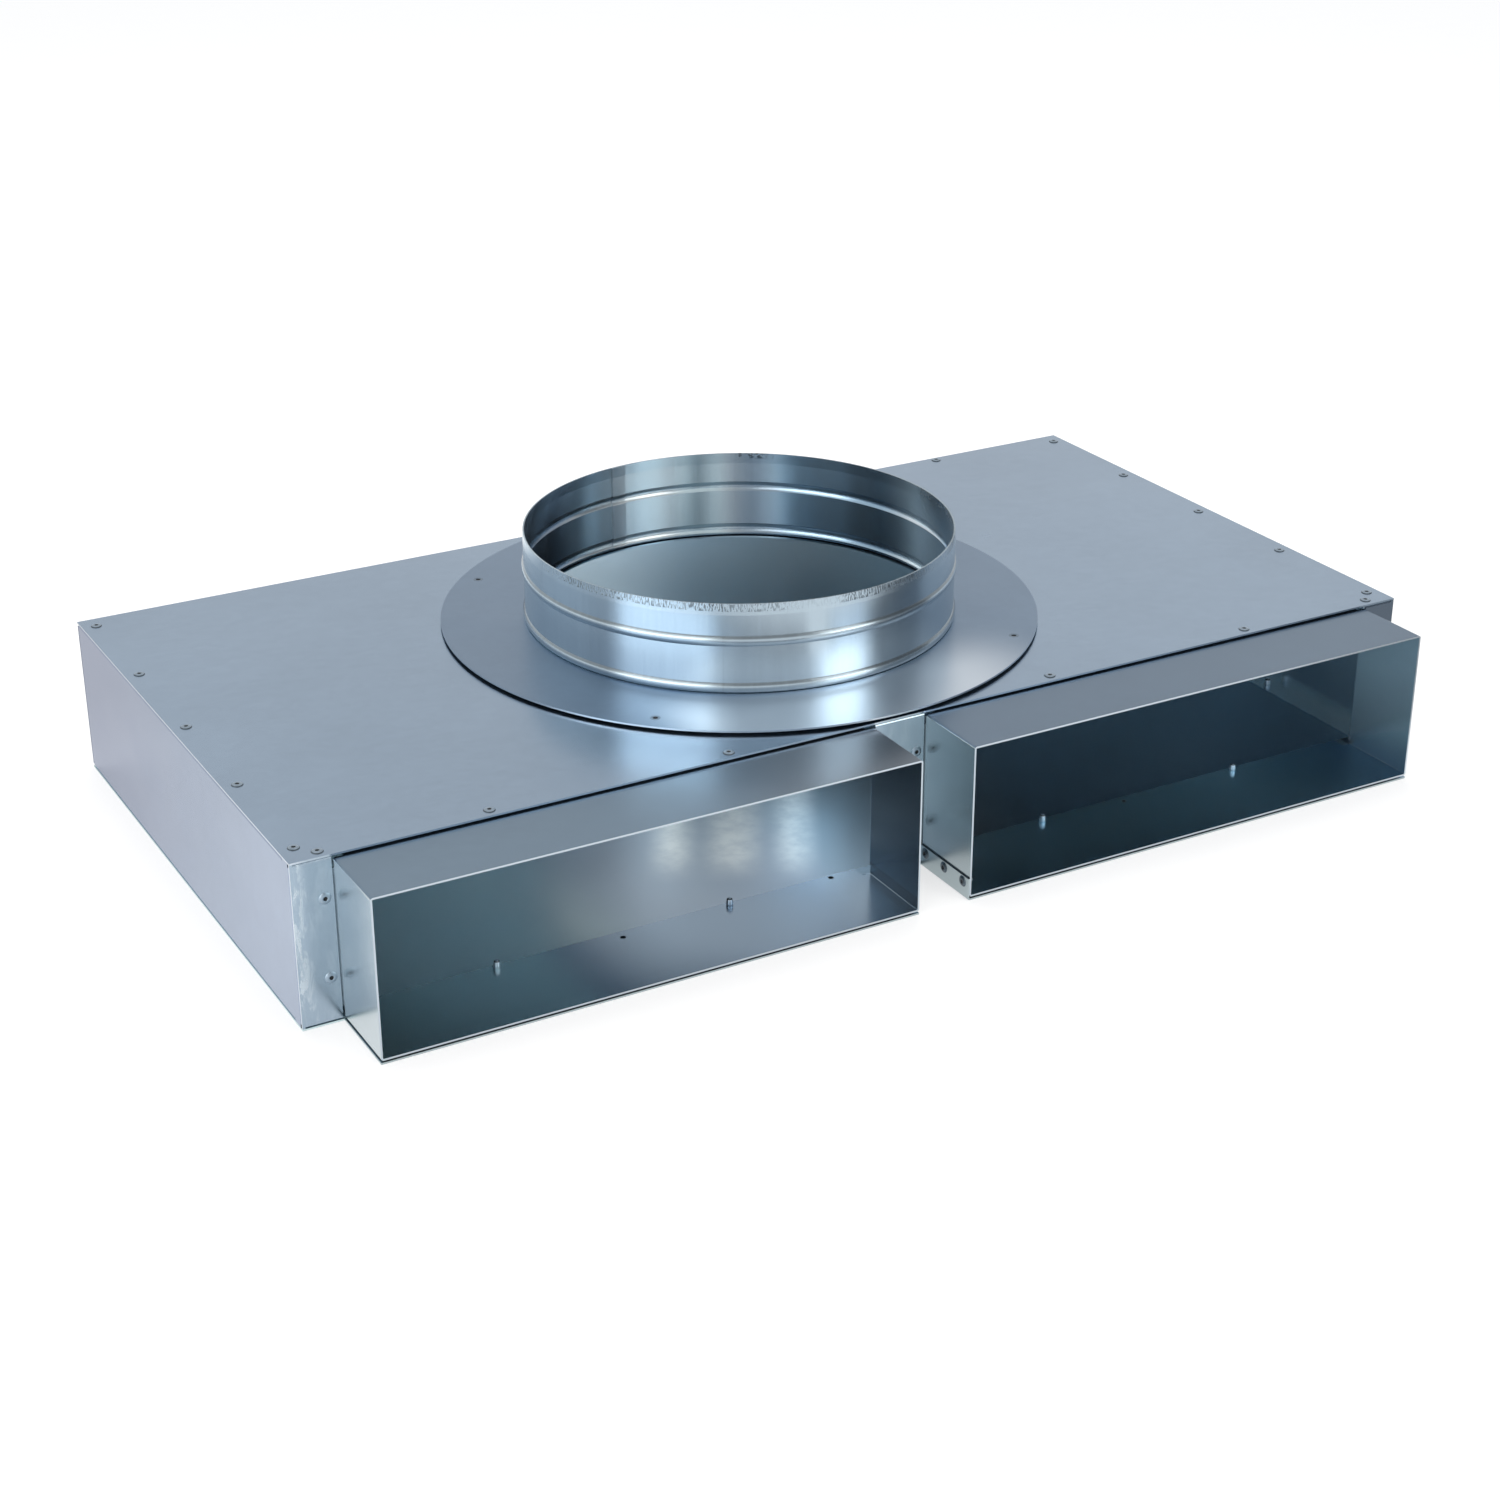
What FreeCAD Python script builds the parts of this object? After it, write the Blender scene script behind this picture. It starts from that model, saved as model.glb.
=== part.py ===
import FreeCAD, Part
import math
import os
from FreeCAD import Vector

# Flat duct splitter: a low sheet-steel plenum with one round collar on its lid
# and two flat rectangular spigots side by side at the front.
# Millimetres. X runs along the front, Y from the mouths to the back, Z upwards.
# The origin is on the ground under the middle of the whole width and depth.

# Sheet metal
sheet = 1.0
bend_radius = 0.5

# Plenum box
end_strip = 22.0
box_height = 93.0
side_flange = 14.0
front_flange = 10.0
back_flange = 14.0
corner_return = 10.0
corner_gap = 0.5
corner_relief = 2.0

# Rectangular spigots
spigot_width = 307.0
spigot_length = 48.0
post_width = 32.0
opening_gap = 0.6
opening_groove = 1.0
sleeve_lip = 9.0
sleeve_tab = 10.5
tab_relief = 6.0
seam_lip = 13.0
seam_lip_gap = 0.5

# Round collar, set a little to the left of the middle
collar_radius = 125.0
collar_sheet = 0.8
collar_height = 52.0
collar_offset = 1.8
lead_in_height = 6.5
lead_in_taper = 0.3
bead_height = 1.2
bead_half_width = 3.0
upper_bead_drop = 21.5
turned_edge = 5.5
lap_width = 9.5
lap_angle = 97.5

# Flange ring, as wide across as the box is deep, and its seal
ring_width = 49.0
ring_clearance = 0.6
seal_thickness = 1.5
seal_set_back = 16.0
seal_clearance = 1.5

# Blind rivets
shank_radius = 1.6
hole_clearance = 0.05
head_radius = 3.2
head_height = 0.9
sunk_head_radius = 2.8
mandrel_radius = 0.9
mandrel_depth = 0.8
tail_length = 4.5

# Rivet rows
side_row_count = 5
side_row_inset = 8.0
side_row_start = 15.0
side_row_end = 11.4
front_row_inset = 6.0
spigot_rivet_inset = 85.5
back_row_count = 3
back_row_inset = 4.5
back_row_start = 300.0
back_row_end = 100.0
tab_rivet_lift = 26.0
tab_rivet_drop = 22.0
rear_rivet_inset = 5.0
seam_row_count = 3
seam_row_height = 9.5
seam_row_margin = 5.5
ring_rivet_count = 4
ring_rivet_inset = 11.0
ring_rivet_angle = 45.0

# Places that follow from the sizes above
box_width = post_width + 2 * (spigot_width + end_strip)
ring_radius = collar_radius + ring_width
box_depth = 2 * ring_radius
x_left = -box_width / 2
x_right = box_width / 2
y_mouth = -(box_depth + spigot_length) / 2
y_front = y_mouth + spigot_length
y_back = y_front + box_depth
x_collar = -collar_offset
y_collar = (y_front + y_back) / 2
z_base = sheet
z_lid = box_height - sheet
sleeve_bottom = z_base + sheet
sleeve_top = z_lid - sheet
spigot_offset = (post_width + spigot_width) / 2
fold_radius = bend_radius + sheet
z_ring = box_height + seal_thickness
z_ring_top = z_ring + sheet
z_rim = z_ring_top + collar_height
collar_bore = collar_radius - collar_sheet
hole_radius = shank_radius + hole_clearance
sunk_depth = (sunk_head_radius - shank_radius) / math.tan(math.radians(60))

UP = Vector(0, 0, 1)
ORIGIN = Vector(0, 0, 0)


def block(x0, x1, y0, y1, z0, z1):
    """Straight block between two corners."""
    return Part.makeBox(x1 - x0, y1 - y0, z1 - z0, Vector(x0, y0, z0))


def upright_plane(y):
    """Places an (x, z) point on the plane across the part at this y."""
    return lambda point: Vector(point.x, y, point.y)


def side_plane(x):
    """Places a (y, z) point on the plane along the part at this x."""
    return lambda point: Vector(x, point.x, point.y)


def level_plane(z):
    """Places an (x, y) point on the level plane at this z."""
    return lambda point: Vector(point.x, point.y, z)


def rounded_run(points, radii, place):
    """Edges along a line of right-angled runs, each corner rounded."""
    edges = []
    start = points[0]
    for before, corner, after, radius in zip(points, points[1:], points[2:], radii):
        inward = (before - corner).normalize() * radius
        onward = (after - corner).normalize() * radius
        centre = corner + inward + onward
        middle = centre + (corner - centre).normalize() * radius
        edges.append(Part.makeLine(place(start), place(corner + inward)))
        arc = Part.Arc(place(corner + inward), place(middle), place(corner + onward))
        edges.append(arc.toShape())
        start = corner + onward
    edges.append(Part.makeLine(place(start), place(points[-1])))
    return edges


def bent_sheet(path, place, run):
    """Folded sheet: the path is its skin, and its metal lies to the right of the path."""
    skin = [Vector(u, v, 0) for u, v in path]
    ways = [(end - start).normalize() for start, end in zip(skin, skin[1:])]
    steps = [Vector(way.y, -way.x, 0) * sheet for way in ways]
    under = [skin[0] + steps[0]]
    under += [corner + a + b for corner, a, b in zip(skin[1:-1], steps, steps[1:])]
    under.append(skin[-1] + steps[-1])
    right_turns = [a.cross(b).z < 0 for a, b in zip(ways, ways[1:])]
    skin_radii = [fold_radius if right else bend_radius for right in right_turns]
    under_radii = [bend_radius if right else fold_radius for right in right_turns]
    edges = rounded_run(skin, skin_radii, place)
    edges += rounded_run(under, under_radii, place)
    edges.append(Part.makeLine(place(skin[0]), place(under[0])))
    edges.append(Part.makeLine(place(skin[-1]), place(under[-1])))
    outline = Part.Wire(Part.__sortEdges__(edges))
    return Part.Face(outline).extrude(run)


def fused(shapes):
    """One clean solid from shapes that touch or overlap."""
    return shapes[0].fuse(shapes[1:]).removeSplitter()


def mirrored(shape):
    """The same shape on the other side of the part."""
    return shape.mirror(ORIGIN, Vector(1, 0, 0))


def along(start, end, count):
    """Evenly spaced places from start to end."""
    pitch = (end - start) / (count - 1)
    return [start + pitch * i for i in range(count)]


def revolved(outline, angle=360.0):
    """Solid turned about the Z axis from a closed outline in the XZ plane."""
    return Part.Face(outline).revolve(ORIGIN, UP, angle)


# Rivets
def rivet_outline(grip, sunk):
    """Half section of a blind rivet, its head's outer face or seat at z = 0."""
    shank_end = -grip - tail_length
    if sunk:
        head = [(0, -mandrel_depth), (mandrel_radius, 0), (sunk_head_radius, 0)]
        head.append((shank_radius, -sunk_depth))
    else:
        dip = head_height - mandrel_depth
        head = [(0, dip), (mandrel_radius, head_height), (head_radius, 0), (shank_radius, 0)]
    points = head + [(shank_radius, shank_end), (0, shank_end)]
    corners = [Vector(r, 0, z) for r, z in points]
    return Part.makePolygon(corners + corners[:1])


def rivet(place, out, grip, sunk=False):
    """Blind rivet whose head faces out from this place, through a stack of this thickness."""
    body = revolved(rivet_outline(grip, sunk))
    body.Placement = FreeCAD.Placement(place, FreeCAD.Rotation(UP, out))
    return body


def rivet_hole(place, out, sunk=False):
    """What a rivet takes out of the sheets that it passes through."""
    reach = head_radius + tail_length
    tool = Part.makeCylinder(hole_radius, 2 * reach, place - out * reach, out)
    if sunk:
        cone = Part.makeCone(sunk_head_radius, shank_radius, sunk_depth, place, -out)
        tool = tool.fuse(cone)
    return tool


def drilled(shape, rows):
    """A sheet with the holes of the rivet rows that pass through it."""
    tools = [rivet_hole(place, out, sunk) for places, out, sunk in rows for place in places]
    return shape.cut(tools)


# Rivet places
def side_row(z):
    """Row along the left edge of the lid or the base."""
    x = x_left + side_row_inset
    places = along(y_front + side_row_start, y_back - side_row_end, side_row_count)
    return [Vector(x, y, z) for y in places]


def post_and_corner_row(z):
    """Front edge, behind the post and the two end strips."""
    corner = spigot_offset + spigot_width / 2 + sleeve_tab / 2
    return [Vector(x, y_front + front_row_inset, z) for x in (-corner, 0, corner)]


def spigot_row(z):
    """Front edge, two rivets into the lip of each spigot."""
    half = spigot_width / 2 - spigot_rivet_inset
    right = [spigot_offset - half, spigot_offset + half]
    return [Vector(x, y_front + front_row_inset, z) for x in [-x for x in right] + right]


def back_row(z):
    """Row along the back edge, counted from the left corner."""
    y = y_back - back_row_inset
    places = along(x_left + back_row_start, x_right - back_row_end, back_row_count)
    return [Vector(x, y, z) for x in places]


def tab_rows(y, distances):
    """Upper and lower rivets at these distances from the middle, on both sides of it."""
    heights = [tab_rivet_lift, z_lid - tab_rivet_drop]
    sides = [-x for x in distances] + list(distances)
    return [Vector(x, y, z) for x in sides for z in heights]


def seam_row():
    """Row through the upturned lip of the right tongue and the sleeve's wall."""
    x = spigot_offset - spigot_width / 2 - sheet
    places = along(y_mouth + seam_row_margin, y_front - seam_row_margin, seam_row_count)
    return [Vector(x, y, seam_row_height) for y in places]


def ring_row():
    """Rivets around the flange ring."""
    places = []
    radius = ring_radius - ring_rivet_inset
    for i in range(ring_rivet_count):
        angle = math.radians(ring_rivet_angle + 360.0 / ring_rivet_count * i)
        x = x_collar + radius * math.cos(angle)
        y = y_collar + radius * math.sin(angle)
        places.append(Vector(x, y, z_ring_top))
    return places


FORWARD = Vector(0, -1, 0)
BACKWARD = Vector(0, 1, 0)
DOWN = Vector(0, 0, -1)
LEFTWARD = Vector(-1, 0, 0)

left_lid_row = side_row(box_height)
right_lid_row = [Vector(-p.x, p.y, p.z) for p in left_lid_row]
left_base_row = side_row(0)
right_base_row = [Vector(-p.x, p.y, p.z) for p in left_base_row]
front_lid_row = post_and_corner_row(box_height) + spigot_row(box_height)
front_base_row = post_and_corner_row(0)
floor_row = spigot_row(0)
strip_row = tab_rows(y_front, [spigot_offset + spigot_width / 2 + sleeve_tab / 2])
post_row = tab_rows(y_front, [(post_width - sleeve_tab) / 2])
rear_row = tab_rows(y_back, [box_width / 2 - rear_rivet_inset])


# Plenum sheets
def base_plate():
    """Flat base with a tongue under each spigot; the right tongue has one upturned lip."""
    inner = post_width / 2
    outer = inner + spigot_width
    plate = block(x_left, x_right, y_front, y_back, 0, sheet)
    left = block(-outer, -inner, y_mouth, y_front + sheet, 0, sheet)
    right = block(inner + fold_radius, outer, y_mouth, y_front + sheet, 0, sheet)
    path = [(inner + 2 * fold_radius, 0), (inner - sheet, 0), (inner - sheet, seam_lip)]
    lip = bent_sheet(path, upright_plane(y_mouth), Vector(0, spigot_length - seam_lip_gap, 0))
    edge_rows = left_base_row + right_base_row + front_base_row + back_row(0)
    rows = [(edge_rows + floor_row, DOWN, True), (seam_row(), LEFTWARD, False)]
    return drilled(fused([plate, left, right, lip]), rows)


def lid_plate():
    """Flat lid with the round way up into the collar."""
    plate = block(x_left, x_right, y_front, y_back, z_lid, box_height)
    hole = Part.makeCylinder(collar_bore, 3 * sheet, Vector(x_collar, y_collar, z_lid - sheet), UP)
    rows = [(left_lid_row + right_lid_row + front_lid_row + back_row(box_height), UP, False)]
    rows.append((ring_row(), UP, False))
    return drilled(plate.cut(hole), rows)


def side_wall():
    """Left wall: flanged top and bottom, with a narrow return at the front and the back."""
    y0 = y_front + sheet
    y1 = y_back - sheet
    flange_start = y_front + front_flange + corner_gap
    flange_end = y1 - corner_gap
    x0 = x_left + side_flange
    path = [(x0, z_base), (x_left, z_base), (x_left, z_lid), (x0, z_lid)]
    pieces = [bent_sheet(path, upright_plane(flange_start), Vector(0, flange_end - flange_start, 0))]
    low = z_base + fold_radius
    high = z_lid - fold_radius
    pieces.append(block(x_left, x_left + sheet, y0 + fold_radius, y1 - fold_radius, low, high))
    pieces.append(block(x_left, x_left + sheet, y0 + fold_radius, flange_start - corner_gap, z_base, z_lid))
    rise = Vector(0, 0, z_lid - z_base - 2 * corner_relief)
    foot = level_plane(z_base + corner_relief)
    x1 = x_left + corner_return
    leg = 2 * fold_radius
    pieces.append(bent_sheet([(x1, y0), (x_left, y0), (x_left, y0 + leg)], foot, rise))
    pieces.append(bent_sheet([(x_left, y1 - leg), (x_left, y1), (x1, y1)], foot, rise))
    rows = [(left_lid_row + left_base_row, UP, False), (rear_row, BACKWARD, False)]
    return drilled(fused(pieces), rows)


def back_wall():
    """Back wall: one sheet flanged top and bottom between the side walls."""
    low = z_base + fold_radius
    high = z_lid - fold_radius
    web = block(x_left, x_right, y_back - sheet, y_back, low, high)
    y0 = y_back - back_flange
    path = [(y0, z_lid), (y_back, z_lid), (y_back, z_base), (y0, z_base)]
    x0 = x_left + side_flange + corner_gap
    folded = bent_sheet(path, side_plane(x0), Vector(-2 * x0, 0, 0))
    rows = [(back_row(box_height) + back_row(0), UP, False), (rear_row, BACKWARD, True)]
    return drilled(fused([web, folded]), rows)


def front_frame():
    """Front wall: end strips and post in one sheet, flanged top and bottom, around two openings."""
    low = z_base + fold_radius
    high = z_lid - fold_radius
    web = block(x_left, x_right, y_front, y_front + sheet, low, high)
    y1 = y_front + front_flange
    path = [(y1, z_base), (y_front, z_base), (y_front, z_lid), (y1, z_lid)]
    x0 = x_left + sheet + corner_gap
    folded = bent_sheet(path, side_plane(x0), Vector(-2 * x0, 0, 0))
    corner = block(x_left, x0, y_front, y_front + sheet, z_base, z_lid)
    frame = fused([web, folded, corner, mirrored(corner)])
    depth = y_front + sheet + opening_groove
    for centre in (-spigot_offset, spigot_offset):
        half = spigot_width / 2 + opening_gap
        frame = frame.cut(block(centre - half, centre + half, y_front - sheet, depth, 0, box_height))
    rows = [(front_lid_row + front_base_row + floor_row, UP, False)]
    rows.append((strip_row + post_row, FORWARD, False))
    return drilled(frame, rows)


def spigot_sleeve(centre):
    """Rectangular sleeve: open at both ends, with inner lips top and bottom and turned-out side tabs."""
    x0 = centre - spigot_width / 2
    x1 = centre + spigot_width / 2

    def tube(inset, radius):
        core = block(x0 + inset, x1 - inset, y_mouth, y_front, sleeve_bottom + inset, sleeve_top - inset)
        lengthwise = [e for e in core.Edges if abs(e.tangentAt(e.FirstParameter).y) > 0.5]
        return core.makeFillet(radius, lengthwise)

    pieces = [tube(0, fold_radius).cut(tube(sheet, bend_radius))]
    for z in (sleeve_bottom, sleeve_top - sheet):
        lip_end = y_front + sleeve_lip
        pieces.append(block(x0 + tab_relief, x1 - tab_relief, y_front - sheet, lip_end, z, z + sheet))
    rise = Vector(0, 0, sleeve_top - sleeve_bottom - 2 * tab_relief)
    foot = level_plane(sleeve_bottom + tab_relief)
    y0 = y_front - 2 * fold_radius
    y1 = y_front + sheet
    pieces.append(bent_sheet([(x0, y0), (x0, y1), (x0 - sleeve_tab, y1)], foot, rise))
    pieces.append(bent_sheet([(x1 + sleeve_tab, y1), (x1, y1), (x1, y0)], foot, rise))
    rows = [(front_lid_row + floor_row, UP, False), (strip_row + post_row, FORWARD, False)]
    if centre > 0:
        rows.append((seam_row(), LEFTWARD, False))
    return drilled(fused(pieces), rows)


# Collar and flange
def collar_skin():
    """Outer line of the collar from the rim to its turned edge, as (radius, height) edges."""
    edges = []
    bead_tops = [z_rim - upper_bead_drop + bead_half_width, z_ring_top + 2 * bead_half_width]
    start = Vector(collar_radius, 0, z_rim - lead_in_height)
    edges.append(Part.makeLine(Vector(collar_radius - lead_in_taper, 0, z_rim), start))
    for top in bead_tops:
        high = Vector(collar_radius, 0, top)
        crest = Vector(collar_radius + bead_height, 0, top - bead_half_width)
        low = Vector(collar_radius, 0, top - 2 * bead_half_width)
        edges.append(Part.makeLine(start, high))
        edges.append(Part.Arc(high, crest, low).toShape())
        start = low
    return edges, start


def collar_outline():
    """Closed section of the collar: beaded wall, lead-in at the rim, edge turned out under the ring."""
    edges, start = collar_skin()
    step = Vector(-collar_sheet, 0, 0)
    inner = [edge.translated(step) for edge in edges]
    rim = Vector(collar_radius - lead_in_taper, 0, z_rim)
    turn = Vector(collar_radius, 0, z_ring + bend_radius)
    centre = turn + Vector(bend_radius, 0, 0)
    slant = Vector(-1, 0, -1).normalize()
    outer_radius = bend_radius + collar_sheet
    edge_end = Vector(collar_radius + turned_edge, 0, z_ring)
    edges.append(Part.makeLine(start, turn))
    edges.append(Part.Arc(turn, centre + slant * bend_radius, centre + DOWN * bend_radius).toShape())
    edges.append(Part.makeLine(centre + DOWN * bend_radius, edge_end))
    edges.append(Part.makeLine(edge_end, edge_end + DOWN * collar_sheet))
    edges.append(Part.makeLine(edge_end + DOWN * collar_sheet, centre + DOWN * outer_radius))
    outer_turn = Part.Arc(centre + DOWN * outer_radius, centre + slant * outer_radius, turn + step)
    edges.append(outer_turn.toShape())
    edges.append(Part.makeLine(turn + step, start + step))
    edges += inner
    edges.append(Part.makeLine(rim + step, rim))
    return Part.Wire(Part.__sortEdges__(edges))


def lap_outline():
    """Section of the second layer where the collar's ends lap."""
    edges, start = collar_skin()
    step = Vector(-collar_sheet, 0, 0)
    rim = Vector(collar_radius - lead_in_taper, 0, z_rim)
    outer = [edge.translated(step) for edge in edges]
    inner = [edge.translated(step * 2) for edge in edges]
    ends = [Part.makeLine(start + step, start + step * 2), Part.makeLine(rim + step, rim + step * 2)]
    return Part.Wire(Part.__sortEdges__(outer + inner + ends))


def collar_band():
    """Round beaded collar with a narrow lap seam inside."""
    sweep = math.degrees(lap_width / collar_bore)
    lap = revolved(lap_outline(), sweep)
    lap.rotate(ORIGIN, UP, lap_angle - sweep / 2)
    band = fused([revolved(collar_outline()), lap])
    band.translate(Vector(x_collar, y_collar, 0))
    return band


def flat_ring(inner, outer, bottom, thickness):
    """Flat ring around the collar's axis."""
    base = Vector(x_collar, y_collar, bottom)
    disc = Part.makeCylinder(outer, thickness, base, UP)
    return disc.cut(Part.makeCylinder(inner, thickness, base, UP))


def flange_ring():
    """Flat ring held between the collar's lower bead and its turned edge."""
    ring = flat_ring(collar_radius + ring_clearance, ring_radius, z_ring, sheet)
    return drilled(ring, [(ring_row(), UP, True)])


def flange_seal():
    """Soft black seal between the ring and the lid."""
    inner = collar_radius + turned_edge + seal_clearance
    seal = flat_ring(inner, ring_radius - seal_set_back, box_height, seal_thickness)
    return drilled(seal, [(ring_row(), UP, False)])


def rivets(places, out, grip, sunk=False):
    """A row of equal rivets as separate solids."""
    return Part.makeCompound([rivet(place, out, grip, sunk) for place in places])


def split_by_side(places):
    """Places left of the middle, and places right of it."""
    return [p for p in places if p.x < 0], [p for p in places if p.x > 0]


rear_left, rear_right = split_by_side(rear_row)
strip_left, strip_right = split_by_side(strip_row)
plates = 2 * sheet
stack = 3 * sheet
ring_stack = 2 * sheet + seal_thickness

parts = {
    "base_plate": base_plate(),
    "lid_plate": lid_plate(),
    "left_side_wall": side_wall(),
    "right_side_wall": mirrored(side_wall()),
    "back_wall": back_wall(),
    "front_frame": front_frame(),
    "left_spigot_sleeve": spigot_sleeve(-spigot_offset),
    "right_spigot_sleeve": spigot_sleeve(spigot_offset),
    "collar_band": collar_band(),
    "flange_ring": flange_ring(),
    "flange_seal": flange_seal(),
    "lid_rivets_left": rivets(left_lid_row, UP, plates),
    "lid_rivets_right": rivets(right_lid_row, UP, plates),
    "lid_rivets_front": rivets(front_lid_row, UP, stack),
    "lid_rivets_back": rivets(back_row(box_height), UP, plates),
    "base_rivets_left": rivets(left_base_row, DOWN, plates, True),
    "base_rivets_right": rivets(right_base_row, DOWN, plates, True),
    "base_rivets_front": rivets(front_base_row, DOWN, plates, True),
    "floor_rivets": rivets(floor_row, DOWN, stack, True),
    "base_rivets_back": rivets(back_row(0), DOWN, plates, True),
    "strip_rivets_left": rivets(strip_left, FORWARD, plates),
    "strip_rivets_right": rivets(strip_right, FORWARD, plates),
    "post_rivets": rivets(post_row, FORWARD, plates),
    "rear_rivets_left": rivets(rear_left, BACKWARD, plates, True),
    "rear_rivets_right": rivets(rear_right, BACKWARD, plates, True),
    "seam_rivets": rivets(seam_row(), LEFTWARD, plates),
    "ring_rivets": rivets(ring_row(), UP, ring_stack, True),
}

os.makedirs("parts", exist_ok=True)
for name, shape in parts.items():
    shape.exportStep("parts/" + name + ".step")
    print(name, len(shape.Solids), "solids", round(shape.Volume), "mm3", "valid", shape.isValid())
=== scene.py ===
import math
import bmesh
import bpy
from mathutils import Matrix, Vector


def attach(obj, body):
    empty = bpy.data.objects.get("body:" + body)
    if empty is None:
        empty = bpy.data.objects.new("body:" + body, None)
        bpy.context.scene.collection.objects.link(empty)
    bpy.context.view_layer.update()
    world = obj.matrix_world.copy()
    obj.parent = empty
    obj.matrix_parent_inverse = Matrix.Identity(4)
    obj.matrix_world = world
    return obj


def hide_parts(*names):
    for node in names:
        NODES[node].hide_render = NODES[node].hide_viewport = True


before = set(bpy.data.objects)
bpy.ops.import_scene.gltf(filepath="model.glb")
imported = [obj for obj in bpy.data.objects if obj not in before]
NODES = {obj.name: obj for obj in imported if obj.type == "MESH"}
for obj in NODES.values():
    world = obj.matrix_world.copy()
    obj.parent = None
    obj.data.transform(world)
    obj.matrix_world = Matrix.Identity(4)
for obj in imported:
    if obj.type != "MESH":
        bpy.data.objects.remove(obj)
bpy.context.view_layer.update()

X, Y, Z = 0, 1, 2
MM = 0.001

# Places on the part, and limits that tell its faces apart, in metres
COLLAR_X, COLLAR_Y = -0.0018, 0.024
COLLAR_RADIUS = 0.125
BOX_MIDDLE = (0.0, 0.024, 0.0465)
RING_MIDDLE = (0.0, 0.024, 0.0)
SPIGOT_X, SPIGOT_Y = 0.1695, -0.16
SIDE_FACE_X = 0.3447
RIGHT_WALL_X = 0.3
OUTER_X, INNER_X = 0.323, 0.016
FRONT_Y, REAR_Y = -0.150, 0.19
FOLD_BOTTOM = 0.05
FLOOR_TOP, LIP_BOTTOM, SLEEVE_TOP = 0.01, 0.011, 0.0905
HAIR = 0.0005

OPAQUE = (1.0,)
# A face counts as turned to an axis when its normal leans this far toward it
TURNED = 0.5
# The part of a noise that is used, and how far the clouded tone sways
NOISE_RANGE = (0.3, 0.7)
CLOUD_TONE = 0.045


def radians(degrees):
    """Each of some angles in radians."""
    return [math.radians(angle) for angle in degrees]


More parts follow.
